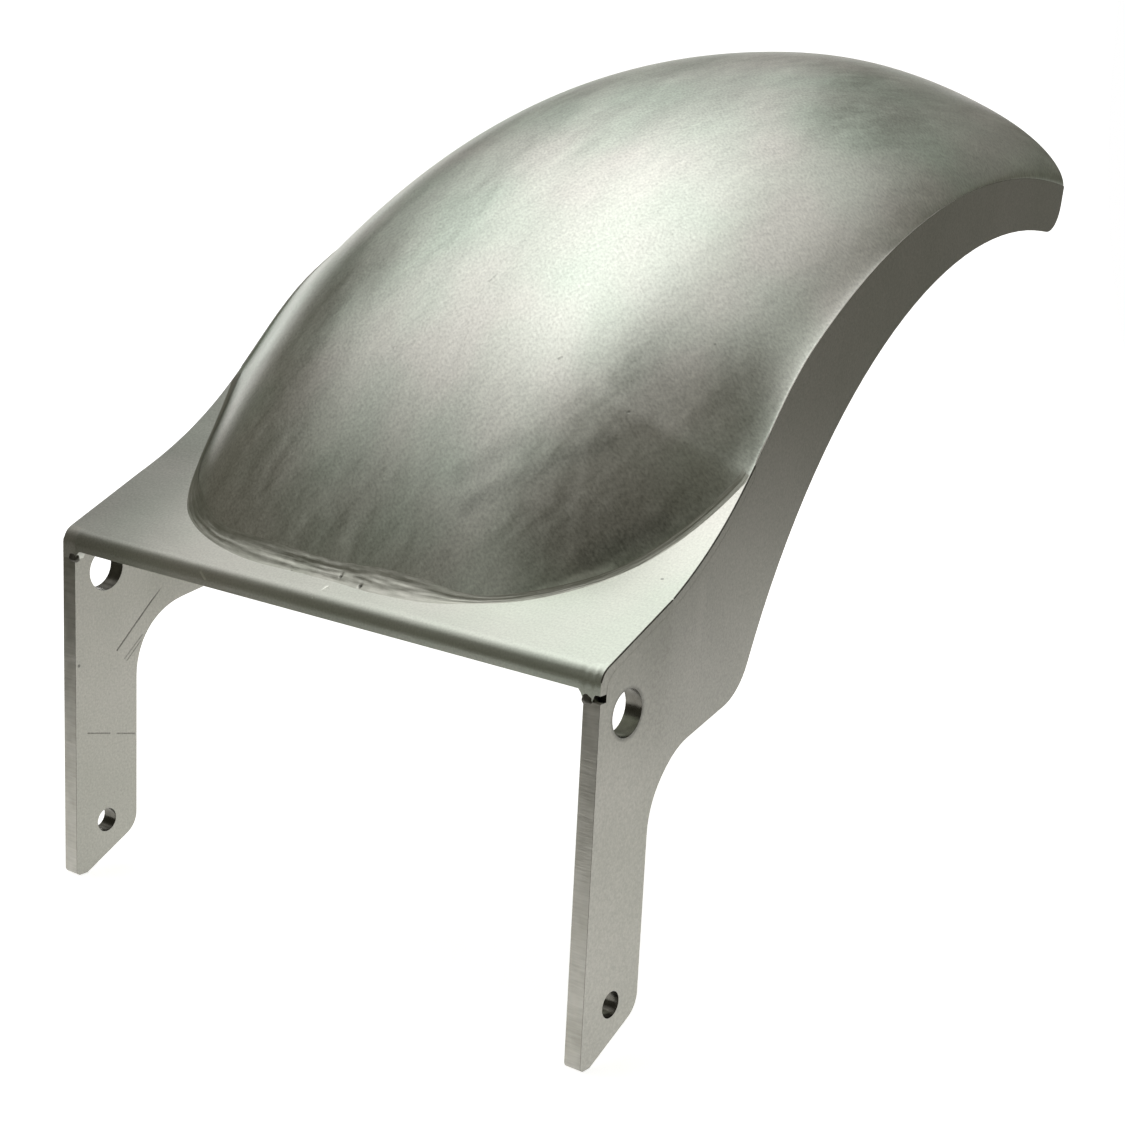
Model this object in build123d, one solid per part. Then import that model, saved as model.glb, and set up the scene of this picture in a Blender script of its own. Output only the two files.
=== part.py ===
from build123d import *
from math import cos, radians, sin, sqrt, tan
import os

# Short rear fender of a motorcycle: a crowned steel shell welded to two cut side plates and a rolled deck.
# Millimetres. +X points to the rider's left, +Y towards the tail, +Z up along the legs.
# The origin is midway between the legs, on the axis of the two upper bolts.

# Side plates
fender_width = 228.0  # over the outside faces of the legs
plate_thickness = 6.0
toe_in = 4.1  # degrees by which each plate turns inwards behind its leg
bend_back = 21.0  # bolt axis to the bend line
bend_radius = 60.0  # inside the bend

# Legs and their bolt holes
leg_width = 28.5
upper_hole = 15.0
lower_hole = 8.5
hole_spacing = 93.0
toe_length = 17.5  # lower hole to the foot of the leg
toe_flat = 5.0
toe_rise = 12.0  # height of the slanted cut at the leg's back
heel_radius = 8.0
toe_radius = 2.0

# Lower outline of a plate, from the leg to the tail
hip_drop = 20.5  # bolt axis down to the corner behind the leg
hip_slope = 11.0
crotch_radius = 26.0
hip_radius = 20.0
lower_radius = 218.7
lower_shift = 9.7  # lower arch set back from the upper one
tail_radius = 12.0

# Upper outline of a plate, and the arch that the shell stands on
arch_top = 142.4
arch_radius = 289.0
band_depth = 20.0  # height of the plate at the top of the arch
tail_angle = 11.1  # degrees past the highest point
sweep_start = 19.6  # bolt axis to where the deck starts to sweep up
sweep_end = 57.4  # degrees, where the sweep runs into the arch
deck_pull = 51.7  # how far the sweep holds the direction of the deck
arch_pull = 33.9  # how far the sweep holds the direction of the arch

# Deck with a rolled front edge, let into the plates
deck_sheet = 3.0
deck_height = 15.0  # top of the deck above the bolt axis, at the front of the legs
deck_slope = 23.9
roll_radius = 10.0
lip_drop = 2.0
lip_gap = 0.5
horn_angle = 48.6  # degrees about the arch's axis, where the deck's horns end

# Crowned shell
shell_wall = 2.5
crown_rise = 40.3
crown_radius = 292.5
nose_back = -3.1  # bolt axis to where the ridge comes out of the deck
nose_angle = 26.0  # degrees above the horizontal, hidden below the deck
nose_drop = 8.0  # how far the flanks come down below the arch at the nose
drop_start = 60.0  # degrees, where the flanks start to come down
drop_end = 42.0
nose_full = 4.5  # squareness of the section at the nose
tail_full = 1.6
nose_flare = 2.1  # how much the flanks spread at their feet
tail_flare = 0.62
flank_depth = 14.0  # straight foot of the flanks, trimmed by the deck and the plates
section_count = 9
section_points = 19

# Welds
weld_leg = 4.5
bead_steps = 32
tack_radius = 2.2

# Places that follow from the sizes
half_width = fender_width / 2
inner_face = half_width - plate_thickness
leg_front = -leg_width / 2
leg_back = leg_width / 2
leg_bottom = -(hole_spacing + toe_length)
toe = radians(toe_in)
slope = radians(deck_slope)
arch_z = arch_top - arch_radius
crown_top = arch_top + crown_rise
crown_z = crown_top - crown_radius
crown_lift = crown_z - arch_z
nose_z = deck_height + (nose_back - leg_front) * tan(slope)
arch_back = nose_back + sqrt(crown_radius**2 - (nose_z - crown_z) ** 2)
deck_reach = arch_back - arch_radius * cos(radians(horn_angle))
lower_y = arch_back + lower_shift
lower_z = arch_top - band_depth - lower_radius
tail_end = 90 + tail_angle
far_back = arch_back + arch_radius
roll_y = leg_front + roll_radius
roll_z = deck_height + roll_radius * tan(slope) - roll_radius / cos(slope)
lip_z = roll_z - lip_drop


# Half of the outside width at a distance behind the bolt axis
def outside(y):
    return half_width - tan(toe) * max(0.0, y - bend_back)


# Point in the side view at an angle and a radius about the arch's axis
def around_arch(angle, radius):
    turn = radians(angle)
    return arch_back - radius * cos(turn), arch_z + radius * sin(turn)


# First crossing of a straight line with the lower arch
def on_lower_arch(start, direction):
    dy = start[0] - lower_y
    dz = start[1] - lower_z
    along = dy * cos(direction) + dz * sin(direction)
    out = dy * dy + dz * dz - lower_radius**2
    reach = -along - sqrt(along * along - out)
    return start[0] + reach * cos(direction), start[1] + reach * sin(direction)


# Corner of a flat shape nearest to a place
def corner(face, place):
    return face.vertices().sort_by_distance(Vector(place[0], place[1]))[0]


# Upper outline from the lip to the arch, at a depth below the visible surface
def deck_line(depth):
    radius = roll_radius - depth
    lip = Line((roll_y - radius, lip_z), (roll_y - radius, roll_z))
    roll = CenterArc((roll_y, roll_z), radius, 180, deck_slope - 90)
    bend = roll @ 1
    reach = (sweep_start - roll_y) / cos(slope) + roll_radius * tan(slope)
    start = (bend.X + reach * cos(slope), bend.Y + reach * sin(slope))
    end = around_arch(sweep_end, arch_radius - depth)
    rise = radians(90 - sweep_end)
    lead = (start[0] + deck_pull * cos(slope), start[1] + deck_pull * sin(slope))
    trail = (end[0] - arch_pull * cos(rise), end[1] - arch_pull * sin(rise))
    return [lip, roll, Line(bend, start), Bezier(start, lead, trail, end)]


# Visible arch behind the deck, run on past the tail by an angle
def arch_line(beyond):
    return CenterArc((arch_back, arch_z), arch_radius, 180 - sweep_end, sweep_end - tail_end - beyond)


# Flat shape in the side view, run across the whole width
def across(face):
    return extrude(Plane.YZ * face, amount=fender_width, both=True)


# Flat shape in plan, run through the whole height
def upright(face):
    return extrude(Pos(0, 0, leg_bottom) * face, amount=crown_top - leg_bottom)


# Side view of a plate: leg, deck line, arch, tail and hip
def plate_side():
    tail_top = around_arch(tail_end, arch_radius)
    tail_low = on_lower_arch(tail_top, -radians(tail_end))
    crotch = (leg_back, -hip_drop)
    hip = on_lower_arch(crotch, radians(hip_slope))
    heel = (leg_back, leg_bottom + toe_rise)
    front_foot = (leg_front, leg_bottom)
    chord = ((tail_low[0] + hip[0]) / 2 - lower_y, (tail_low[1] + hip[1]) / 2 - lower_z)
    grow = lower_radius / sqrt(chord[0] ** 2 + chord[1] ** 2)
    middle = (lower_y + chord[0] * grow, lower_z + chord[1] * grow)
    lower_line = ThreePointArc(tail_low, middle, hip)
    leg = Polyline(
        hip, crotch, heel, (leg_front + toe_flat, leg_bottom), front_foot, (leg_front, lip_z)
    )
    upper_line = deck_line(0) + [arch_line(0)]
    face = make_face(upper_line + [Line(tail_top, tail_low), lower_line] + leg.edges())
    face = fillet(corner(face, crotch), crotch_radius)
    face = fillet(corner(face, hip), hip_radius)
    face = fillet(corner(face, heel), heel_radius)
    face = fillet(corner(face, front_foot), toe_radius)
    return fillet(corner(face, tail_low), tail_radius)


# Plan of one plate, bent inwards behind its leg
def plate_plan():
    tail_x = outside(far_back)
    outer_bend = (half_width, bend_back)
    inner_bend = (inner_face, bend_back - plate_thickness * tan(toe / 2))
    inner_tail = (tail_x - plate_thickness * cos(toe), far_back - plate_thickness * sin(toe))
    outer_edge = [(half_width, leg_front), outer_bend, (tail_x, far_back)]
    inner_edge = [inner_tail, inner_bend, (inner_face, leg_front)]
    face = make_face(Polyline(*outer_edge, *inner_edge, close=True).edges())
    face = fillet(corner(face, outer_bend), bend_radius + plate_thickness)
    return fillet(corner(face, inner_bend), bend_radius)


# Plan of the whole fender, out to the outside faces of both plates
def whole_plan():
    tail_x = outside(far_back)
    left_edge = [(half_width, leg_front), (half_width, bend_back), (tail_x, far_back)]
    right_edge = [(-x, y) for x, y in reversed(left_edge)]
    face = make_face(Polyline(*left_edge, *right_edge, close=True).edges())
    face = fillet(corner(face, (half_width, bend_back)), bend_radius + plate_thickness)
    return fillet(corner(face, (-half_width, bend_back)), bend_radius + plate_thickness)


# Deck sheet over the whole width, before the shell's opening is cut
def deck_blank():
    top = deck_line(0)
    underside = deck_line(deck_sheet)
    ends = [Line(top[0] @ 0, underside[0] @ 0), Line(top[-1] @ 1, underside[-1] @ 1)]
    sheet = across(make_face(top + underside + ends))
    behind = Pos(0, deck_reach + far_back, 0) * Box(3 * fender_width, 2 * far_back, 4 * arch_top)
    return sheet - behind


# One plate on the +X side, with its seat for the deck and its bolt holes
def side_plate(deck_sheet_solid):
    plate = across(plate_side()) & upright(plate_plan())
    gap_middle = (0, leg_front + deck_sheet / 2, lip_z - lip_gap / 2)
    plate -= deck_sheet_solid
    plate -= Pos(*gap_middle) * Box(2 * fender_width, deck_sheet, lip_gap)
    plate -= Rot(0, 90, 0) * Cylinder(upper_hole / 2, 2 * fender_width)
    return plate - Pos(0, 0, -hole_spacing) * Rot(0, 90, 0) * Cylinder(lower_hole / 2, 2 * fender_width)


# Radius about the arch's axis of the ridge of the shell
def ridge(angle):
    turn = radians(angle)
    return crown_lift * sin(turn) + sqrt(crown_radius**2 - (crown_lift * cos(turn)) ** 2)


# Radius about the arch's axis where the flanks become straight
def spring(angle):
    ease = min(1.0, max(0.0, (drop_start - angle) / (drop_start - drop_end)))
    return arch_radius - nose_drop * ease * ease * (3 - 2 * ease)


# One section of the crowned form, on a plane through the arch's axis
def crown_section(angle, inset):
    share = (angle - nose_angle) / (tail_end - nose_angle)
    full = nose_full + (tail_full - nose_full) * share
    flare = nose_flare * (tail_flare / nose_flare) ** share
    foot = spring(angle) - inset
    rise = ridge(angle) - inset - foot

    def place(sideways, radius):
        y, z = around_arch(angle, radius)
        return sideways * (outside(y) - inset), y, z

    arc = []
    for step in range(section_points):
        sideways = sin(radians(180 * step / (section_points - 1) - 90))
        lift = (1 - min(1.0, abs(sideways)) ** full) ** flare
        arc.append(place(sideways, foot + rise * lift))
    right = place(-1, foot - flank_depth)
    left = place(1, foot - flank_depth)
    return Wire([Line(right, arc[0]), Spline(*arc), Line(arc[-1], left), Line(left, right)])


# Crowned form from nose to tail, inset from the outside of the shell, run on past the tail by an angle
def crown(inset, beyond):
    sections = []
    for step in range(section_count):
        angle = nose_angle + (tail_end + beyond - nose_angle) * step / (section_count - 1)
        sections.append(crown_section(angle, inset))
    return Solid.make_loft(sections)


# Everything above the plates' visible upper outline
def above_plates():
    tail_run = 20
    arch = arch_line(tail_run)
    high = crown_top + crown_rise
    end = arch @ 1
    rest = Polyline((end.X, end.Y), (far_back, end.Y), (far_back, high), (leg_front, high), (leg_front, lip_z))
    return across(make_face(deck_line(0) + [arch] + rest.edges()))


# Weld bead along the seam between the deck and the shell, from horn to horn
def seam_bead(deck_solid, shell_form):
    touching = 0.01
    tops = [face for face in deck_solid.faces() if face.normal_at().Z > 0.2]
    crown_face = shell_form.faces().sort_by_distance((0, arch_back, crown_top))[0]
    seam = []
    for top in tops:
        seam += [edge for edge in top.edges() if crown_face.distance_to(edge @ 0.5) < touching]
    path = Wire(seam)
    sections = []
    for step in range(bead_steps + 1):
        foot = path @ (step / bead_steps)
        along = path % (step / bead_steps)
        deck_normal = min(tops, key=lambda top: top.distance_to(foot)).normal_at(foot)
        shell_normal = crown_face.normal_at(foot)
        away = along.cross(deck_normal)
        away = away if away.dot(shell_normal) > 0 else -away
        up = along.cross(shell_normal)
        up = up if up.dot(deck_normal) > 0 else -up
        root = foot - (away + up) * (weld_leg / 4)
        sections.append(Wire.make_polygon([foot + away * weld_leg, foot + up * weld_leg, root]))
    bead = (Solid.make_loft(sections, ruled=True) - shell_form - blank) & upright(whole_plan())
    return bead.solids().sort_by(SortBy.VOLUME)[-1]


outside_form = crown(0, 0)
blank = deck_blank()
left_plate = side_plate(blank)
right_plate = mirror(left_plate, about=Plane.YZ)
deck = (blank & upright(whole_plan())) - outside_form
shell = (outside_form - crown(shell_wall, 1)) & (above_plates() + blank)
bead = seam_bead(deck, outside_form)
left_tack = Pos(inner_face, leg_front + deck_sheet / 2, lip_z) * Rot(90, 0, 0) * Cylinder(tack_radius, deck_sheet)
lip_level = Pos(inner_face, leg_front, lip_z + tack_radius) * Box(4 * tack_radius, 4 * deck_sheet, 2 * tack_radius)
left_tack = left_tack - left_plate - lip_level
right_tack = mirror(left_tack, about=Plane.YZ)

os.makedirs("parts", exist_ok=True)
nodes = {
    "left_side_plate": left_plate,
    "right_side_plate": right_plate,
    "deck_plate": deck,
    "fender_shell": shell,
    "seam_weld": bead,
    "left_corner_weld": left_tack,
    "right_corner_weld": right_tack,
}
for name, part in nodes.items():
    part.label = name
    export_step(part, f"parts/{name}.step")
    print(name, [round(s.volume) for s in part.solids()], part.is_valid)
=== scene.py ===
import bisect
import math
import bmesh
import bpy
from mathutils import Matrix, Vector, noise


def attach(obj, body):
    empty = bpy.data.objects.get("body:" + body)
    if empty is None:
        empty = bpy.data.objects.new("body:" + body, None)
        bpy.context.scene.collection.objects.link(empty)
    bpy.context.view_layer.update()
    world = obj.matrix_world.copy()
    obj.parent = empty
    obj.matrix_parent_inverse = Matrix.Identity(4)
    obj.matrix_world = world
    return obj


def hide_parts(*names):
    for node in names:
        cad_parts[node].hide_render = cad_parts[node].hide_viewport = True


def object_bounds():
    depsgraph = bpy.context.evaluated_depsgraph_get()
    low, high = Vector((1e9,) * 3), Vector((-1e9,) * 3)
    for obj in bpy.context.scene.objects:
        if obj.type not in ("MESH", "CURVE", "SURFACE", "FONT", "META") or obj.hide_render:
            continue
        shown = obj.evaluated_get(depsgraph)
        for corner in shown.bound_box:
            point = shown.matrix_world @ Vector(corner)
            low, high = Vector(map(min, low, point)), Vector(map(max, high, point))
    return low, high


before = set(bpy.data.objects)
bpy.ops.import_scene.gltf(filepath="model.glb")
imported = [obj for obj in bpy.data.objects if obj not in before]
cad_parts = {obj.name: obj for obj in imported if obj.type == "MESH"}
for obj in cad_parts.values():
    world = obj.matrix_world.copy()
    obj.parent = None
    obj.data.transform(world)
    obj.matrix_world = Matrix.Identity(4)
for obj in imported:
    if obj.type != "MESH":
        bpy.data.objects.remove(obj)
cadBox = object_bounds()
mm = 0.001
print("frame loaded:", sorted(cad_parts))

# sizes of the fender in millimetres and degrees, as in the CAD, but with a tighter rolled edge
# and with feet of the shell that drop a little nearer to the nose
form = {
    "halfWidth": 114.0, "plateThickness": 6.0, "toeIn": 4.1, "bendBack": 21.0, "legWidth": 28.5,
    "archTop": 142.4, "archRadius": 289.0, "tailAngle": 11.1,
    "sweepStart": 19.6, "sweepEnd": 57.4, "deckPull": 51.7, "archPull": 33.9,
    "deckSheet": 3.0, "deckHeight": 15.0, "deckSlope": 23.9, "rollRadius": 6.0, "lipDrop": 2.0,
    "hornAngle": 48.6, "shellWall": 2.5, "crownRise": 40.3, "crownRadius": 292.5,
    "noseBack": -3.1, "noseAngle": 26.0, "noseDrop": 8.0, "dropStart": 56.0, "dropEnd": 40.0,
    "noseFull": 4.5, "tailFull": 1.6, "noseFlare": 2.1, "tailFlare": 0.62,
}
slope = math.radians(form["deckSlope"])
legFront = -form["legWidth"] / 2
archZ = form["archTop"] - form["archRadius"]
crownZ = form["archTop"] + form["crownRise"] - form["crownRadius"]
noseZ = form["deckHeight"] + (form["noseBack"] - legFront) * math.tan(slope)
archBack = form["noseBack"] + math.sqrt(form["crownRadius"] ** 2 - (noseZ - crownZ) ** 2)
tailEnd = 90 + form["tailAngle"]
deckReach = archBack - form["archRadius"] * math.cos(math.radians(form["hornAngle"]))
rollY = legFront + form["rollRadius"]
rollZ = form["deckHeight"] + form["rollRadius"] * (math.tan(slope) - 1 / math.cos(slope))
lipZ = rollZ - form["lipDrop"]


def outside(y):  # half of the width over the plates
    return form["halfWidth"] - math.tan(math.radians(form["toeIn"])) * max(0.0, y - form["bendBack"])


def aroundArch(angle, radius):  # side view point about the arch's axis
    turn = math.radians(angle)
    return archBack - radius * math.cos(turn), archZ + radius * math.sin(turn)


def aboutArch(y, z):  # the same, backwards
    dy = archBack - y
    dz = z - archZ
    return math.degrees(math.atan2(dz, dy)), math.hypot(dy, dz)


def smoothStep(low, high, value):
    share = min(1.0, max(0.0, (value - low) / (high - low)))
    return share * share * (3 - 2 * share)


def crownAt(sideways, angle):  # radius of the shell's outside about the arch's axis
    turn = math.radians(angle)
    lift = crownZ - archZ
    ridge = lift * math.sin(turn) + math.sqrt(form["crownRadius"] ** 2 - (lift * math.cos(turn)) ** 2)
    drop = form["noseDrop"] * (1 - smoothStep(form["dropEnd"], form["dropStart"], angle))
    foot = min(form["archRadius"] - drop, footRadius(angle))
    share = (angle - form["noseAngle"]) / (tailEnd - form["noseAngle"])
    full = form["noseFull"] + (form["tailFull"] - form["noseFull"]) * share
    flare = form["noseFlare"] * (form["tailFlare"] / form["noseFlare"]) ** share
    return foot + (ridge - foot) * (1 - min(1.0, abs(sideways)) ** full) ** flare


# points in each stretch of the deck's side view, and how far its line runs on,
# in millimetres in front and in degrees behind
pathSteps = {"lip": 3, "roll": 12, "slope": 20, "sweep": 80, "runFront": 40, "runBack": 50}
rollEnd = pathSteps["lip"] + pathSteps["roll"]  # number of the point at which the roll ends


def deckPath():  # side view of the deck's upper surface, from the lip to the arch
    points = [(legFront, lipZ + form["lipDrop"] * k / pathSteps["lip"]) for k in range(pathSteps["lip"])]
    radius = form["rollRadius"]
    for k in range(pathSteps["roll"] + 1):
        turn = math.pi - (math.pi / 2 - slope) * k / pathSteps["roll"]
        points.append((rollY + radius * math.cos(turn), rollZ + radius * math.sin(turn)))
    bend = Vector(points[-1])
    along = Vector((math.cos(slope), math.sin(slope)))
    start = bend + along * ((form["sweepStart"] - rollY) / math.cos(slope) + radius * math.tan(slope))
    points += [tuple(bend.lerp(start, k / pathSteps["slope"])) for k in range(1, pathSteps["slope"])]
    end = Vector(aroundArch(form["sweepEnd"], form["archRadius"]))
    rise = math.radians(90 - form["sweepEnd"])
    lead = start + along * form["deckPull"]
    trail = end - Vector((math.cos(rise), math.sin(rise))) * form["archPull"]
    for k in range(pathSteps["sweep"] + 1):
        t = k / pathSteps["sweep"]
        s = 1 - t
        points.append(tuple(start * s**3 + lead * 3 * s * s * t + trail * 3 * s * t * t + end * t**3))
    return points


deckLine = deckPath()
runFront = []
for k in range(pathSteps["runFront"]):
    ahead = k - pathSteps["runFront"]
    runFront.append((legFront + ahead, form["deckHeight"] + ahead * math.tan(slope)))
runBack = [aroundArch(form["sweepEnd"] + k, form["archRadius"]) for k in range(1, pathSteps["runBack"])]
footLine = [aboutArch(y, z) for y, z in runFront + deckLine[rollEnd:] + runBack]
footAngles = [angle for angle, radius in footLine]


def footRadius(angle):  # radius at which the visible edge of deck and plates lies
    k = min(max(bisect.bisect(footAngles, angle), 1), len(footLine) - 1)
    a0, r0 = footLine[k - 1]
    a1, r1 = footLine[k]
    return r0 + (r1 - r0) * (angle - a0) / (a1 - a0)


deckRun = [0.0]
for here, there in zip(deckLine, deckLine[1:]):
    deckRun.append(deckRun[-1] + math.dist(here, there))


def deckAt(run):  # point of the deck's path after a run of millimetres from the lip
    k = min(max(bisect.bisect(deckRun, run), 1), len(deckRun) - 1)
    share = (run - deckRun[k - 1]) / (deckRun[k] - deckRun[k - 1])
    y0, z0 = deckLine[k - 1]
    y1, z1 = deckLine[k]
    return y0 + (y1 - y0) * share, z0 + (z1 - z0) * share


def deckHeightAt(y):  # height of the deck's top behind its rolled edge
    for (y0, z0), (y1, z1) in zip(deckLine[rollEnd - 1:], deckLine[rollEnd:]):
        if y1 >= y:
            return z0 + (z1 - z0) * (y - y0) / (y1 - y0)
    return deckLine[-1][1]


def dress(obj, nodes, materials):
    for material in materials:
        obj.data.materials.append(material)
    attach(obj, "root")
    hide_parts(*nodes)


def toObject(bm, name, smoothAngle):
    mesh = bpy.data.meshes.new(name)
    bm.to_mesh(mesh)
    bm.free()
    obj = bpy.data.objects.new(name, mesh)
    bpy.context.scene.collection.objects.link(obj)
    mesh.shade_smooth()
    mesh.set_sharp_from_angle(angle=math.radians(smoothAngle))
    return obj


def linear(code):  # sRGB hex to linear colour
    parts = [int(code[k:k + 2], 16) / 255 for k in (0, 2, 4)]
    return [c / 12.92 if c <= 0.04045 else ((c + 0.055) / 1.055) ** 2.4 for c in parts] + [1.0]


def addNode(tree, kind, inputs=None, **settings):
    node = tree.nodes.new(kind)
    for key, value in settings.items():
        setattr(node, key, value)
    for key, value in (inputs or {}).items():
        if isinstance(value, bpy.types.NodeSocket):
            tree.links.new(value, node.inputs[key])
        else:
            node.inputs[key].default_value = value
    return node


# scratch or stain along a line: full within its width, fading over its soft edge, all in mm
def mark(start, end, width, soft, tone, rough=0, bump=0):
    return {
        "start": start, "end": end, "width": width, "soft": soft, "tone": tone, "rough": rough, "bump": bump,
    }


def capsule(tree, place, row):  # 1 within a mark's width of its line, fading to 0
    start = Vector(row["start"]) * mm
    along = Vector(row["end"]) * mm - start
    length = max(along.length, 1e-6)
    along = along / length
    offset = addNode(tree, "ShaderNodeVectorMath", {0: place, 1: start}, operation="SUBTRACT").outputs[0]
    ahead = addNode(tree, "ShaderNodeVectorMath", {0: offset, 1: along}, operation="DOT_PRODUCT")
    ends = {"Value": ahead.outputs["Value"], "Min": 0.0, "Max": length}
    kept = addNode(tree, "ShaderNodeClamp", ends).outputs[0]
    nearest = addNode(tree, "ShaderNodeVectorMath", {0: along, "Scale": kept}, operation="SCALE").outputs[0]
    gap = addNode(tree, "ShaderNodeVectorMath", {0: offset, 1: nearest}, operation="DISTANCE")
    edges = {"From Min": (row["width"] + row["soft"]) * mm, "From Max": row["width"] * mm}
    edges["Value"] = gap.outputs["Value"]
    return addNode(tree, "ShaderNodeMapRange", edges, interpolation_type="SMOOTHSTEP").outputs[0]


def noiseLayer(tree, place, row):  # noise around nought, drawn out along its direction, in mm
    size = [row["fine"] * mm, row.get("long", row["fine"]) * mm, row.get("deep", row["fine"]) * mm]
    turn = (0, 0, math.radians(row.get("turn", 0)))
    mapping = {"Vector": place, "Rotation": turn, "Scale": size}
    mapped = addNode(tree, "ShaderNodeMapping", mapping, vector_type="TEXTURE").outputs[0]
    settings = {"Vector": mapped, "Scale": 1.0, "Detail": row.get("detail", 2.0), "Roughness": 0.6}
    cloud = addNode(tree, "ShaderNodeTexNoise", settings).outputs["Fac"]
    return addNode(tree, "ShaderNodeMath", {0: cloud, 1: 0.5}, operation="SUBTRACT").outputs[0]


def addPattern(tree, totals, pattern, row):  # adds a pattern to tone, roughness and height
    for key, unit in (("tone", 1), ("rough", 1), ("bump", mm)):
        amount = row.get(key, 0) * unit
        if amount:
            inputs = {0: pattern, 1: amount, 2: totals[key]}
            totals[key] = addNode(tree, "ShaderNodeMath", inputs, operation="MULTIPLY_ADD").outputs[0]


def steel(name, spec):
    material = bpy.data.materials.new(name)
    material.use_nodes = True
    tree = material.node_tree
    shader = tree.nodes["Principled BSDF"]
    coords = addNode(tree, "ShaderNodeTexCoord").outputs
    totals = {"tone": 1.0, "rough": spec["rough"], "bump": 0.0}
    for row in spec["layers"]:
        addPattern(tree, totals, noiseLayer(tree, coords[spec.get("coords", "Object")], row), row)
    for row in spec.get("marks", []):
        addPattern(tree, totals, capsule(tree, coords["Object"], row), row)
    tint = noiseLayer(tree, coords["Object"], spec["tintLayer"])
    spread = {"Value": tint, "From Min": -0.15, "From Max": 0.15}
    share = addNode(tree, "ShaderNodeMapRange", spread).outputs[0]
    colours = {0: share, 6: linear(spec["colour"]), 7: linear(spec["tint"])}
    colour = addNode(tree, "ShaderNodeMix", colours, data_type="RGBA").outputs[2]
    tones = {0: colour, "Scale": totals["tone"]}
    shaded = addNode(tree, "ShaderNodeVectorMath", tones, operation="SCALE").outputs[0]
    shader.inputs["Metallic"].default_value = 1.0
    tree.links.new(shaded, shader.inputs["Base Color"])
    tree.links.new(totals["rough"], shader.inputs["Roughness"])
    if totals["bump"]:
        relief = {"Height": totals["bump"], "Strength": 1.0, "Distance": 1.0}
        tree.links.new(addNode(tree, "ShaderNodeBump", relief).outputs[0], shader.inputs["Normal"])
    return material


# hand sanded steel: soft lengthwise clouds, crossed fine sanding lines, a few dark smudges and nicks, and
# painted shade over the left shoulder
# the sanding lines and grain are coarser than the real ones, so that they show
shellSteel = steel("sandedSteel", {
    "colour": "DEDDD6", "tint": "CFD9CD", "rough": 0.35, "coords": "UV",
    "tintLayer": {"fine": 60, "long": 90},
    "layers": [
        {"fine": 16, "long": 90, "turn": 12, "tone": 0.30, "rough": 0.16, "bump": 0.16},
        {"fine": 5, "long": 40, "turn": -14, "tone": 0.24, "rough": 0.12, "bump": 0.03},
        {"fine": 0.5, "long": 5, "turn": 55, "tone": 0.16, "rough": 0.08, "bump": 0.003},
        {"fine": 0.6, "long": 6, "turn": -62, "tone": 0.14, "rough": 0.08, "bump": 0.003},
        {"fine": 2.5, "long": 45, "turn": -30, "tone": 0.18, "rough": 0.08, "bump": 0.008},
        {"fine": 4, "long": 7, "turn": 40, "tone": 0.22, "rough": 0.08, "bump": 0.012},
        {"fine": 0.9, "long": 1.3, "turn": 50, "detail": 3.0, "tone": 0.85, "bump": 0.012},
    ],
    "marks": [
        mark((78, 20, 44), (98, 42, 50), 1, 26, -0.22),  # painted shade over the left shoulder
        mark((69.4, 5, 25), (88.2, 24.2, 34.5), 0.2, 2.4, 0.35, rough=0.1),  # light streak above the seam
        mark((34, 18, 56), (47, 28, 67), 0.5, 6, -0.16),
        mark((40, 13, 47), (73, 40, 69), 0.5, 5, -0.20),
        mark((82, 21, 36), (95, 40, 47), 0.5, 6, -0.20),
        mark((47.1, 48.8, 90.4), (47.6, 49.4, 90.9), 0.25, 0.4, -0.35, bump=-0.02),
        mark((74.4, 48.8, 77.2), (74.9, 49.2, 77.5), 0.25, 0.4, -0.35, bump=-0.02),
        mark((85.6, 78.7, 97), (85.9, 79, 97.2), 0.2, 0.3, -0.35, bump=-0.02),
        mark((5.2, 64.8, 108.9), (6.4, 67.4, 110.9), 0.15, 0.5, -0.25, bump=-0.02),
    ],
})

# satin sheet steel: smoother and paler, faint drawing lines along the sheet, a dull right end
# its grain is coarser than the real one, so that it shows
deckSteel = steel("satinSheetSteel", {
    "colour": "DBDAD3", "tint": "D0D6CB", "rough": 0.34, "coords": "UV",
    "tintLayer": {"fine": 70},
    "layers": [
        {"fine": 30, "long": 14, "tone": 0.12, "rough": 0.06, "bump": 0.03},
        {"fine": 12, "long": 0.8, "tone": 0.10, "rough": 0.05, "bump": 0.002},
        {"fine": 0.8, "tone": 0.45, "bump": 0.005},
    ],
    "marks": [
        mark((-118, 10, 25), (-112, 50, 50), 10, 60, -0.40),
        mark((1.0, -12.9, 14.5), (2.9, -8.2, 17.7), 0.15, 0.4, 0.4, bump=-0.04),
        mark((-48, -14, 13.6), (-45.5, -14.2, 11.6), 0.2, 0.5, 0.4, bump=-0.05),
        mark((105, 27.6, 33.8), (105.3, 27.6, 33.8), 0.25, 0.3, -0.5),
    ],
})
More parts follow.
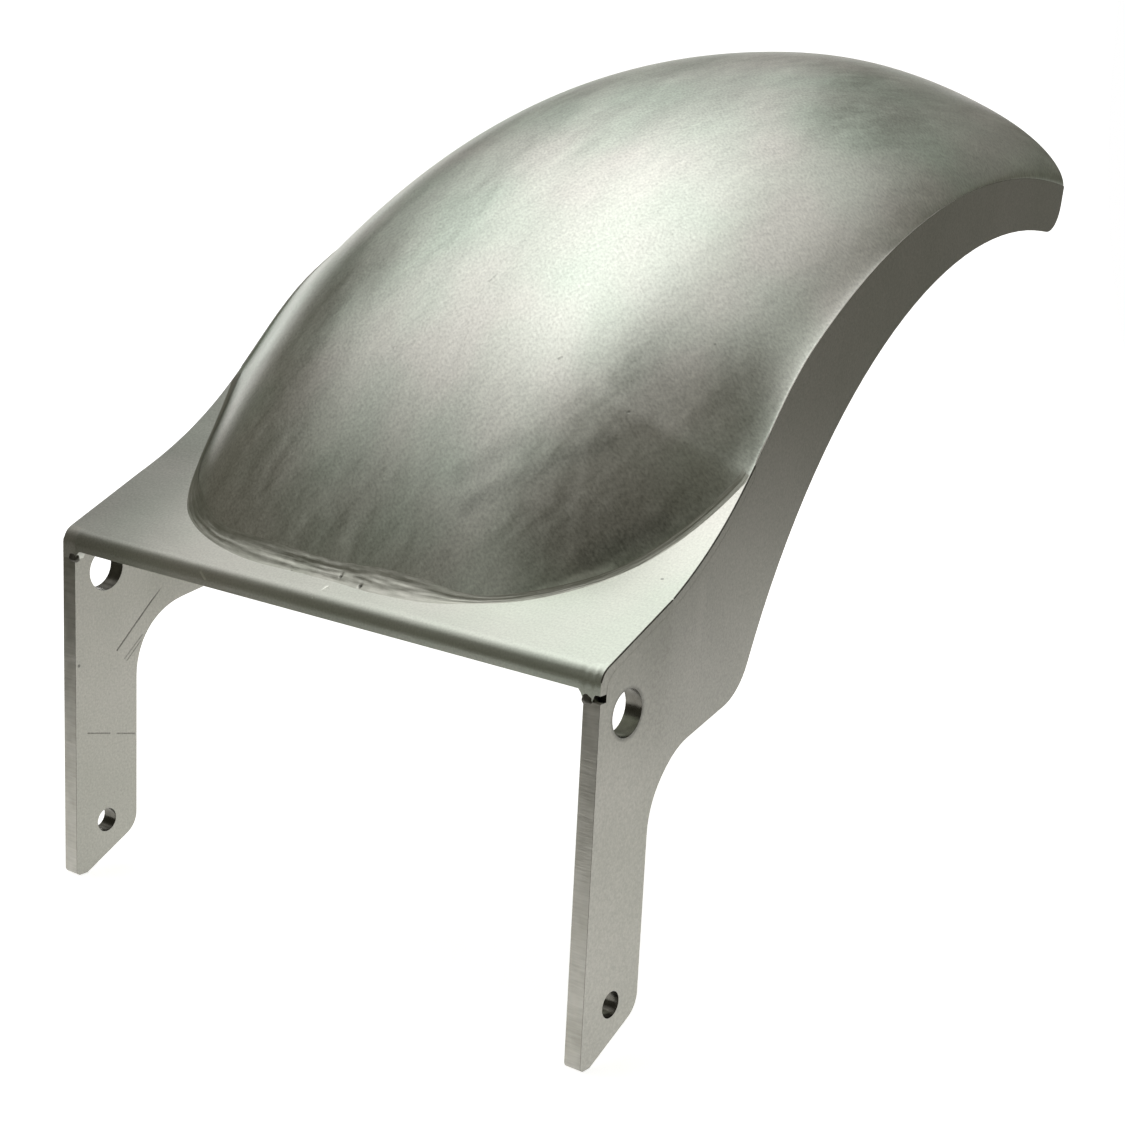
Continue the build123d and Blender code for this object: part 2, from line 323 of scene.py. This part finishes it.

# blasted plate: even matte grey grain, with painted shade behind the left leg, a faint painted highlight in
# a light vertical line, scribed lines inside the right leg and dirt round a hole; its grain is coarser than
# blast grit leaves, so that it shows
plateSteel = steel("blastedPlateSteel", {
    "colour": "B9B7B0", "tint": "B1B0A8", "rough": 0.46,
    "tintLayer": {"fine": 60},
    "layers": [
        {"fine": 25, "long": 40, "deep": 70, "tone": 0.10, "rough": 0.05},
        {"fine": 0.8, "tone": 0.55, "bump": 0.010},
        {"fine": 2.5, "tone": 0.10, "rough": 0.06, "bump": 0.006},
    ],
    "marks": [
        mark((-108, 26.5, -10.7), (-108, 4.9, -30.5), 0.15, 0.3, -0.55, bump=-0.08),
        mark((-108, 16.8, -27.4), (-108, 8.6, -34.3), 0.15, 0.3, -0.35, bump=-0.02),
        mark((-108, 16.0, -29.5), (-108, 9.6, -35.3), 0.1, 0.25, -0.4, bump=-0.05),
        mark((-108, -8.8, -58.1), (-108, 1.5, -60.6), 0.1, 0.3, -0.4, bump=-0.05),
        mark((-108, 5.0, -61.5), (-108, 13.4, -63.6), 0.1, 0.3, -0.4, bump=-0.05),
        mark((-108, -12.7, -32.5), (-108, -12.7, -32.5), 0.4, 0.4, -0.5, bump=-0.05),
        mark((114, 0, 0), (114, 0, 0), 7.6, 1.4, -0.35, bump=-0.05),  # dirt round the upper left hole
        # faint painted highlight: a light vertical line down the outer face of the left plate
        mark((112.7, 38.6, 31.4), (112.8, 38.4, 14), 0.3, 3.5, 0.05),
        mark((114, 30, 8), (114, 45, -4), 12, 34, -0.13),  # painted shade behind the left leg
    ],
})

# flame cut edge: darker scale with close lines across the plate's thickness,
# and black painted shade in the gaps under the deck's ends
cutSteel = steel("cutEdgeSteel", {
    "colour": "B4B2AB", "tint": "A4A29A", "rough": 0.42,
    "tintLayer": {"fine": 12},
    "layers": [
        {"fine": 9, "long": 0.7, "deep": 0.7, "tone": 0.5, "rough": 0.15, "bump": 0.05},
        {"fine": 3, "long": 6, "deep": 6, "tone": 0.3, "rough": 0.1, "bump": 0.02},
    ],
    "marks": [
        # painted shade: black spots where the gaps under the deck's ends are
        mark((112.8, -11.2, 7.2), (112.8, -11.2, 7.2), 1.7, 0.5, -0.9),
        mark((-112.8, -11.2, 7.2), (-112.8, -11.2, 7.2), 1.7, 0.5, -0.9),
    ],
})

# bored hole: shiny, with faint rings, and dark with painted shade inside the hole
boreAndShadeSteel = steel("boredSteelAndShade", {
    "colour": "77756E", "tint": "5E5C56", "rough": 0.24,
    "tintLayer": {"fine": 5},
    "layers": [{"fine": 0.4, "long": 8, "deep": 8, "tone": 0.3, "rough": 0.1, "bump": 0.01}],
})

# burred corner: the dark line along the cut outline, partly burr and partly painted shade on the rounded
# edges
burrAndShadeSteel = steel("burrAndShadeEdge", {
    "colour": "6E6C66", "tint": "55534E", "rough": 0.45,
    "tintLayer": {"fine": 6},
    "layers": [{"fine": 1.5, "tone": 0.4, "rough": 0.1}],
})

# ground weld: smeared metal with bright ridges and dark pits
weldSteel = steel("groundWeldSteel", {
    "colour": "C9C9C0", "tint": "BABCB1", "rough": 0.36, "coords": "UV",
    "tintLayer": {"fine": 14},
    "layers": [
        {"fine": 22, "long": 0.9, "tone": 0.5, "rough": 0.2, "bump": 0.07},
        {"fine": 2.2, "long": 0.8, "tone": 0.4, "rough": 0.1, "bump": 0.03},
    ],
    "marks": [
        mark((13.6, -5.2, 19.4), (13.9, -5.2, 19.4), 0.3, 0.6, -0.7),
        mark((4.3, -3.7, 20.2), (4.6, -3.7, 20.2), 0.3, 0.6, -0.7),
        mark((-15.9, -6.6, 18.6), (-15.2, -6.0, 19.0), 0.2, 0.6, -0.7),
        mark((-9.4, -6.6, 18.6), (-9.0, -6.1, 19.0), 0.2, 0.6, -0.7),
        mark((94.8, 30.2, 35.6), (96.8, 31.4, 36.4), 0.2, 0.5, -0.8),
    ],
})
print("materials made")


def keepSide(bm, above):  # cuts the grid where its third coordinate passes nought
    bmesh.ops.bisect_plane(
        bm, geom=bm.verts[:] + bm.edges[:] + bm.faces[:], dist=1e-5, plane_co=(0, 0, 0), plane_no=(0, 0, 1),
        clear_inner=above, clear_outer=not above,
    )


def unroll(bm, scaleX, scaleY):  # texture coordinates in metres over the flat grid
    layer = bm.loops.layers.uv.new("unrolled")
    for face in bm.faces:
        for loop in face.loops:
            loop[layer].uv = (loop.vert.co.x * scaleX, loop.vert.co.y * scaleY)


def faceUp(bm):  # turns the outside of a sheet upwards
    bmesh.ops.recalc_face_normals(bm, faces=bm.faces[:])
    bm.normal_update()
    if sum(f.normal.z for f in bm.faces) < 0:
        bmesh.ops.reverse_faces(bm, faces=bm.faces[:])


def thicken(bm, wall):
    faceUp(bm)
    bmesh.ops.solidify(bm, geom=bm.faces[:], thickness=wall * mm)


def roundEdges(bm, edges, size):
    bmesh.ops.bevel(
        bm, geom=edges, offset=size * mm, segments=2, profile=0.5, affect="EDGES", material=-1,
        clamp_overlap=True,
    )
    bm.normal_update()


# crowned shell: it runs on under the deck except near its sides, and stays inset from the plates' faces
shell = {
    "acrossSegments": 220, "alongSegments": 190, "inset": 0.4,
    "hornFade": 3.0, "sideFade": (0.94, 0.97), "smoothAngle": 40,
}


def makeShell():
    bm = bmesh.new()
    bmesh.ops.create_grid(bm, x_segments=shell["acrossSegments"], y_segments=shell["alongSegments"], size=1)
    horn = form["hornAngle"]
    for v in bm.verts:
        sideways = math.sin(v.co.x * math.pi / 2)
        angle = form["noseAngle"] + (tailEnd - form["noseAngle"]) * (v.co.y + 1) / 2
        sunk = form["deckSheet"] * (1 - smoothStep(horn - shell["hornFade"], horn, angle))
        sunk *= 1 - smoothStep(*shell["sideFade"], abs(sideways))
        v.co = (sideways, angle, crownAt(sideways, angle) - footRadius(angle) + sunk)
    keepSide(bm, True)
    unroll(bm, form["halfWidth"] * mm, math.radians(form["crownRadius"] * mm))
    for v in bm.verts:
        sideways, angle = v.co.x, v.co.y
        y, z = aroundArch(angle, crownAt(sideways, angle))
        v.co = Vector((sideways * (outside(y) - shell["inset"]), y, z)) * mm
    thicken(bm, form["shellWall"])
    obj = toObject(bm, "crownedShell", shell["smoothAngle"])
    dress(obj, ["fender_shell"], [shellSteel])
    return obj


crownedShell = makeShell()
print("shell made:", len(crownedShell.data.vertices), "vertices")

# rolled deck in millimetres, with fades by distance from the middle: the lip drops further
# over the legs, less by the gap at the outermost left
deck = {
    "acrossSegments": 228, "alongSegments": 120, "wall": 3.8, "edgeRound": 0.35, "recess": 0.03,
    "endDrop": 3.2, "endFade": (106.3, 108.0), "gap": 2.5, "gapFade": (111.0, 111.8), "shellReach": 0.98,
    "rimBand": 0.04, "rimUp": 0.3, "rimTurn": 1.0, "sideTurn": 0.98, "endFront": 2.0, "smoothAngle": 15,
}


def onRim(edge):  # upper outer edges, along both side plates
    middle = (edge.verts[0].co + edge.verts[1].co) / 2 / mm
    if abs(middle.x) <= outside(middle.y) - deck["rimBand"] or len(edge.link_faces) != 2:
        return False
    upper = max(f.normal.z for f in edge.link_faces) > deck["rimUp"]
    return upper and edge.calc_face_angle() > deck["rimTurn"]


def makeDeck():
    bm = bmesh.new()
    bmesh.ops.create_grid(bm, x_segments=deck["acrossSegments"], y_segments=deck["alongSegments"], size=1)
    runEnd = next(run for run, (y, z) in zip(deckRun, deckLine) if y > deckReach)
    for v in bm.verts:
        across = v.co.x * form["halfWidth"]
        low = deck["endDrop"] * smoothStep(*deck["endFade"], abs(across))
        low -= deck["gap"] * smoothStep(*deck["gapFade"], across)
        run = (runEnd + low) * (v.co.y + 1) / 2 - low
        angle, radius = aboutArch(*deckAt(run))
        covered = angle > form["noseAngle"] and abs(v.co.x) < deck["shellReach"]
        inside = crownAt(v.co.x, angle) - radius if covered else -1.0
        v.co = (v.co.x, run, inside)
    keepSide(bm, False)
    unroll(bm, form["halfWidth"] * mm, mm)
    for v in bm.verts:
        y, z = deckAt(v.co.y)
        v.co = Vector((v.co.x * outside(y), y, z)) * mm
    thicken(bm, deck["wall"])
    for v in bm.verts:
        limit = (outside(v.co.y / mm) - deck["recess"]) * mm
        v.co.x = max(-limit, min(limit, v.co.x))
    bm.normal_update()
    roundEdges(bm, [edge for edge in bm.edges if onRim(edge)], deck["edgeRound"])
    # the rounded rim along the plates takes the burr colour: a dark line, partly painted shade
    for face in bm.faces:
        middle = face.calc_center_median() / mm
        if abs(middle.x) > outside(middle.y) - deck["edgeRound"]:
            face.material_index = 1 if abs(face.normal.x) > deck["sideTurn"] else 2
        elif middle.x < form["plateThickness"] - form["halfWidth"] and middle.y < rollY - deck["endFront"]:
            face.material_index = 1
    obj = toObject(bm, "rolledDeck", deck["smoothAngle"])
    dress(obj, ["deck_plate"], [deckSteel, plateSteel, burrAndShadeSteel])
    return obj


rolledDeck = makeDeck()
print("deck made:", len(rolledDeck.data.vertices), "vertices")

# side plates: copies of the CAD's with rounded corners; holes are given by place and reach in the side view
plates = {
    "edgeRound": 0.3, "merge": 0.001, "flatTurn": 0.5, "cornerTurn": 0.8, "faceTurn": 0.98, "cutTurn": 0.2,
    "notchFront": 9, "notchBack": 6, "notchEnd": 1, "holes": ((0, 0, 8.2), (0, -93, 5.0)), "smoothAngle": 50,
}


def underDeck(edge):  # edges of the notch that the deck lies in
    y, z = ((edge.verts[0].co + edge.verts[1].co) / 2 / mm).yz
    depth = plates["notchFront"] if y < 0 else plates["notchBack"]
    return y < deckReach + plates["notchEnd"] and z > deckHeightAt(y) - depth


def makePlate(node, name):
    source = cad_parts[node]
    bm = bmesh.new()
    bm.from_mesh(source.data)
    bm.transform(source.matrix_world)
    bmesh.ops.remove_doubles(bm, verts=bm.verts[:], dist=plates["merge"] * mm)
    flat = math.radians(plates["flatTurn"])
    bmesh.ops.dissolve_limit(bm, angle_limit=flat, verts=bm.verts[:], edges=bm.edges[:])
    bmesh.ops.recalc_face_normals(bm, faces=bm.faces[:])
    bm.normal_update()
    corners = [e for e in bm.edges if len(e.link_faces) == 2 and e.calc_face_angle() > plates["cornerTurn"]]
    roundEdges(bm, [e for e in corners if not underDeck(e)], plates["edgeRound"])
    for face in bm.faces:
        lean = abs(face.normal.x)
        middle = face.calc_center_median() / mm
        bored = any(math.hypot(middle.y - y, middle.z - z) < reach for y, z, reach in plates["holes"])
        # rounded corners between faces take the burr colour: a dark line, partly painted shade
        edge = 1 if lean < plates["cutTurn"] else 3
        face.material_index = 0 if lean > plates["faceTurn"] else 2 if bored else edge
    obj = toObject(bm, name, plates["smoothAngle"])
    obj.modifiers.new("evenNormals", "WEIGHTED_NORMAL").keep_sharp = True
    dress(obj, [node], [plateSteel, cutSteel, boreAndShadeSteel, burrAndShadeSteel])
    return obj


leftPlate = makePlate("left_side_plate", "leftPlate")
makePlate("right_side_plate", "rightPlate")
print("plates made:", len(leftPlate.data.vertices), "vertices each")

# bead round the nose in millimetres: thin at the left of the fender, broad over its middle and right
# zones are given by where they fade in on the right and out on the left, pits by place and size in plan
weld = {
    "columns": 1400, "rows": 20, "centreY": 67.0, "sweep": 89.0, "runRadius": 90, "flatWidth": 6,
    "seamReach": (40.0, 125.0), "climbReach": (-3.0, 30.0), "nudge": 0.004, "seamEdge": 0.5, "rimGap": 0.4,
    "thinOut": 0.8, "thinUp": 1.6, "broadOut": 3.0, "broadUp": 4.2, "leastOut": 0.1,
    "bulge": 0.35, "sunk": 0.08,
    "broadZone": (-96, -70, 30, 60), "messyZone": (-32, -14, 24, 44),
    "uneven": 0.2, "unevenMessy": 0.05, "swell": 0.06, "swellBroad": 0.10, "swellMessy": 0.08,
    "pits": [(13.6, -5.2, 0.6), (4.3, -3.7, 0.5), (-15.9, -6.6, 0.6), (-9.4, -6.6, 0.4), (95.8, 30.7, 0.6)],
    "pitDepth": 0.2, "smoothAngle": 60,
}


def shellAboveDeck(x, y):  # how far the shell's outside stands above the deck's top
    angle, radius = aboutArch(y, deckHeightAt(y))
    return crownAt(x / outside(y), angle) - radius if abs(x) < outside(y) - weld["seamEdge"] else -1.0


def seamPoint(turn):  # plan point where shell and deck meet, in a direction from the centre
    near, far = weld["seamReach"]
    for k in range(40):
        middle = (near + far) / 2
        x = middle * math.sin(turn)
        y = weld["centreY"] - middle * math.cos(turn)
        if shellAboveDeck(x, y) > 0:
            near = middle
        else:
            far = middle
    return Vector((near * math.sin(turn), weld["centreY"] - near * math.cos(turn)))


def onShell(seam, inward, rise):  # point of the shell at a height above the deck
    near, far = weld["climbReach"]
    for k in range(30):
        middle = (near + far) / 2
        spot = seam + inward * middle
        z = deckHeightAt(spot.y) + rise
        angle, radius = aboutArch(spot.y, z)
        if crownAt(spot.x / outside(spot.y), angle) > radius:
            far = middle
        else:
            near = middle
    return Vector((spot.x, spot.y, z))


def inZone(x, zone):  # 1 inside a zone of the bead, fading at both ends
    return smoothStep(zone[0], zone[1], x) * (1 - smoothStep(zone[2], zone[3], x))


def weldColumn(turn, run):  # foot, bend and top of a section, the way it bulges and how much it swells
    seam = seamPoint(turn)
    ahead = seamPoint(turn + weld["nudge"]) - seamPoint(turn - weld["nudge"])
    inward = Vector((-ahead.y, ahead.x)).normalized()
    broad = inZone(seam.x, weld["broadZone"])
    messy = inZone(seam.x, weld["messyZone"])
    uneven = 1 + weld["uneven"] * noise.noise((run / 25, 3.1, 0.4))
    uneven += weld["unevenMessy"] * messy * noise.noise((run / 4, 8.2, 0.7))
    out = (weld["thinOut"] + (weld["broadOut"] - weld["thinOut"]) * broad) * uneven
    up = (weld["thinUp"] + (weld["broadUp"] - weld["thinUp"]) * broad) * uneven
    strip = max(weld["leastOut"], outside(seam.y) - abs(seam.x) - weld["rimGap"])
    foot = seam - inward * min(strip, out)
    footPoint = Vector((foot.x, foot.y, deckHeightAt(foot.y) - weld["sunk"]))
    top = onShell(seam, inward, up)
    top -= Vector((-inward.x, -inward.y, 1.0)).normalized() * weld["sunk"]
    corner = Vector((seam.x, seam.y, deckHeightAt(seam.y)))
    corner = corner.lerp((footPoint + top) / 2, weld["bulge"])
    face = top - footPoint
    flat = Vector((inward.x, inward.y, 0))
    normal = (Vector((0, 0, 1)) * face.dot(flat) - flat * face.z).normalized()
    swell = weld["swell"] + weld["swellBroad"] * broad + weld["swellMessy"] * messy
    return footPoint, corner, top, normal, swell


def makeWeld():
    bm = bmesh.new()
    bmesh.ops.create_grid(bm, x_segments=weld["columns"], y_segments=weld["rows"], size=1)
    columns = {}
    places = {}
    for v in bm.verts:
        key = round(v.co.x * weld["columns"])
        turn = math.radians(weld["sweep"]) * v.co.x
        run = weld["runRadius"] * turn
        if key not in columns:
            columns[key] = weldColumn(turn, run)
        footPoint, corner, top, normal, swell = columns[key]
        t = (v.co.y + 1) / 2
        spot = footPoint * (1 - t) ** 2 + corner * 2 * t * (1 - t) + top * t * t
        streak = noise.noise((run / 30, t * 5, 1.7)) + 0.6 * noise.noise((run / 8, t * 10, 5.2))
        lift = math.sin(math.pi * t) * streak * swell
        for x, y, size in weld["pits"]:
            gap = math.hypot(spot.x - x, spot.y - y) / size
            lift -= weld["pitDepth"] * math.exp(-gap * gap)
        places[v] = (spot + normal * lift) * mm
        v.co = (run, t * weld["flatWidth"], 0)
    unroll(bm, mm, mm)
    for v, place in places.items():
        v.co = place
    faceUp(bm)
    obj = toObject(bm, "seamBead", weld["smoothAngle"])
    dress(obj, ["seam_weld"], [weldSteel])
    return obj


seamBead = makeWeld()
print("weld made:", len(seamBead.data.vertices), "vertices")

# tacks on the front corners, in millimetres: flattened balls with an uneven skin
tack = {
    "radius": 2.4, "outset": 1.2, "front": 0.7, "height": 6.4, "flat": (0.95, 0.5, 0.8),
    "subdivisions": 4, "fine": 1.6, "rough": 0.4, "smoothAngle": 60,
}


def makeTack(node, name, side):
    bm = bmesh.new()
    bmesh.ops.create_icosphere(bm, subdivisions=tack["subdivisions"], radius=tack["radius"])
    inner = form["halfWidth"] - form["plateThickness"]
    centre = Vector((side * (inner + tack["outset"]), legFront + tack["front"], tack["height"]))
    for v in bm.verts:
        bump = noise.noise(v.co / tack["fine"] + Vector((side * 3, 0, 0)))
        v.co *= 1 + bump * tack["rough"] / tack["radius"]
        v.co = (centre + v.co * Vector(tack["flat"])) * mm
    obj = toObject(bm, name, tack["smoothAngle"])
    dress(obj, [node], [burrAndShadeSteel])


makeTack("left_corner_weld", "leftTack", 1)
makeTack("right_corner_weld", "rightTack", -1)
print("tacks made")

# white paper that runs back from the feet and up behind, square to the camera, in metres and degrees
# its glow is a little lower near the middle, between glowFrom and glowTo
paper = {
    "left": 0.3, "leftBack": 0.65, "right": 0.48, "front": 0.24, "back": 1.0, "bend": 0.3, "bendSteps": 10,
    "wall": 0.2, "middleY": 0.1, "turn": 35.95, "colour": "F4F4F2", "rough": 0.9,
    "glow": 0.8, "glowFrom": 0.25, "glowTo": 0.8, "smoothAngle": 40,
}


def paperMaterial():
    material = bpy.data.materials.new("whitePaper")
    material.use_nodes = True
    tree = material.node_tree
    matt = tree.nodes["Principled BSDF"]
    matt.inputs["Base Color"].default_value = linear(paper["colour"])
    matt.inputs["Roughness"].default_value = paper["rough"]
    rays = addNode(tree, "ShaderNodeLightPath").outputs
    seen = rays["Is Camera Ray"]
    for ray in ("Is Glossy Ray", "Is Transmission Ray"):
        seen = addNode(tree, "ShaderNodeMath", {0: seen, 1: rays[ray]}, operation="ADD").outputs[0]
    place = addNode(tree, "ShaderNodeTexCoord").outputs["Object"]
    away = addNode(tree, "ShaderNodeVectorMath", {0: place}, operation="LENGTH").outputs["Value"]
    fade = {"From Min": paper["glowFrom"], "From Max": paper["glowTo"], "To Min": paper["glow"]}
    fade["Value"] = away
    level = addNode(tree, "ShaderNodeMapRange", fade, interpolation_type="SMOOTHSTEP").outputs[0]
    strength = addNode(tree, "ShaderNodeMath", {0: seen, 1: level}, operation="MULTIPLY").outputs[0]
    glow = addNode(tree, "ShaderNodeEmission", {"Strength": strength})
    both = addNode(tree, "ShaderNodeAddShader", {0: matt.outputs[0], 1: glow.outputs[0]})
    tree.links.new(both.outputs[0], tree.nodes["Material Output"].inputs["Surface"])
    return material


def makePaper():
    bm = bmesh.new()
    bmesh.ops.create_grid(bm, x_segments=1, y_segments=1, size=1)
    for v in bm.verts:
        left = paper["left"] if v.co.y < 0 else paper["leftBack"]
        v.co.x = -left if v.co.x < 0 else paper["right"]
        v.co.y = -paper["front"] if v.co.y < 0 else paper["back"]
    rear = [e for e in bm.edges if all(v.co.y > 0 for v in e.verts)]
    axis = (0, paper["back"], paper["bend"])
    bent = bmesh.ops.spin(
        bm, geom=rear, cent=axis, axis=(1, 0, 0), angle=math.pi / 2, steps=paper["bendSteps"]
    )["geom_last"]
    rim = [e for e in bent if isinstance(e, bmesh.types.BMEdge)]
    raised = bmesh.ops.extrude_edge_only(bm, edges=rim)["geom"]
    raised = [v for v in raised if isinstance(v, bmesh.types.BMVert)]
    bmesh.ops.translate(bm, verts=raised, vec=(0, 0, paper["wall"]))
    turned = Matrix.Rotation(math.radians(paper["turn"]), 4, "Z")
    place = Matrix.Translation((0, paper["middleY"], cadBox[0][2])) @ turned
    bmesh.ops.transform(bm, matrix=place, verts=bm.verts[:])
    obj = toObject(bm, "studioPaper", paper["smoothAngle"])
    obj.data.materials.append(paperMaterial())


makePaper()
print("paper made")

# camera at the photograph's viewing angle: place in metres, lens in millimetres, and its three axes
camera = {
    "place": (0.46683, -0.52257, 0.2090), "lens": 72.46, "sensor": 36, "clipStart": 0.01,
    "right": (0.80114, 0.59654, 0.0482), "down": (0.18836, -0.17488, -0.9664),
    "ahead": (-0.56807, 0.7833, -0.25247),
}
cameraData = bpy.data.cameras.new("photoCamera")
cameraData.lens = camera["lens"]
cameraData.sensor_width = camera["sensor"]
cameraData.clip_start = camera["clipStart"]
cameraObject = bpy.data.objects.new("photoCamera", cameraData)
bpy.context.scene.collection.objects.link(cameraObject)
axes = Matrix((camera["right"], [-c for c in camera["down"]], [-c for c in camera["ahead"]])).transposed()
cameraObject.matrix_world = Matrix.Translation(camera["place"]) @ axes.to_4x4()
bpy.context.scene.camera = cameraObject

# dim warm room, white where the camera looks past the paper
studio = {"roomColour": (1.0, 0.97, 0.78, 1), "roomStrength": 0.11}
world = bpy.data.worlds.new("studioRoom")
bpy.context.scene.world = world
world.use_nodes = True
roomTree = world.node_tree
room = roomTree.nodes["Background"]
room.inputs["Color"].default_value = studio["roomColour"]
room.inputs["Strength"].default_value = studio["roomStrength"]
white = addNode(roomTree, "ShaderNodeBackground", {"Color": (1, 1, 1, 1), "Strength": 1.0})
seenDirectly = addNode(roomTree, "ShaderNodeLightPath").outputs["Is Camera Ray"]
chosen = addNode(roomTree, "ShaderNodeMixShader", {0: seenDirectly, 1: room.outputs[0], 2: white.outputs[0]})
roomTree.links.new(chosen.outputs[0], roomTree.nodes["World Output"].inputs["Surface"])

# softboxes round the middle of the fender: direction in degrees, size in metres, brightness of the cloth
softboxes = {
    "topSoftbox": {"azimuth": 102, "elevation": 80, "size": (1.8, 1.8), "cloth": 0.70},
    "crownSoftbox": {"azimuth": 180, "elevation": 70, "size": (1.2, 1.2), "cloth": 0.70},
    "sideSoftbox": {"azimuth": 210, "elevation": 52, "size": (1.4, 0.9), "cloth": 0.55},
    "backSoftbox": {"azimuth": 140, "elevation": 41, "size": (1.35, 0.9), "cloth": 0.46},
    "lowSoftbox": {"azimuth": 150, "elevation": 1, "size": (0.7, 0.4), "cloth": 0.9},
    "rearFill": {"azimuth": 88, "elevation": 30, "size": (1.3, 0.8), "cloth": 0.12},
    "plateFill": {"azimuth": 71, "elevation": -4, "size": (1.2, 0.5), "cloth": 0.16},
    "frontFill": {"azimuth": 265, "elevation": 20, "size": (1.0, 0.7), "cloth": 0.18},
}
softboxAim = Vector((0, 0.15, 0.1))
softboxAway = 1.6
for name, box in softboxes.items():
    lamp = bpy.data.lights.new(name, "AREA")
    lamp.shape = "RECTANGLE"
    lamp.size, lamp.size_y = box["size"]
    lamp.energy = math.pi * box["size"][0] * box["size"][1] * box["cloth"]
    obj = bpy.data.objects.new(name, lamp)
    bpy.context.scene.collection.objects.link(obj)
    level = math.radians(box["elevation"])
    turn = math.radians(box["azimuth"])
    heading = Vector((math.cos(level) * math.cos(turn), math.cos(level) * math.sin(turn), math.sin(level)))
    obj.location = softboxAim + heading * softboxAway
    obj.rotation_euler = heading.to_track_quat("Z", "Y").to_euler()
print("camera and softboxes made")

bpy.context.scene.view_settings.view_transform = "Standard"
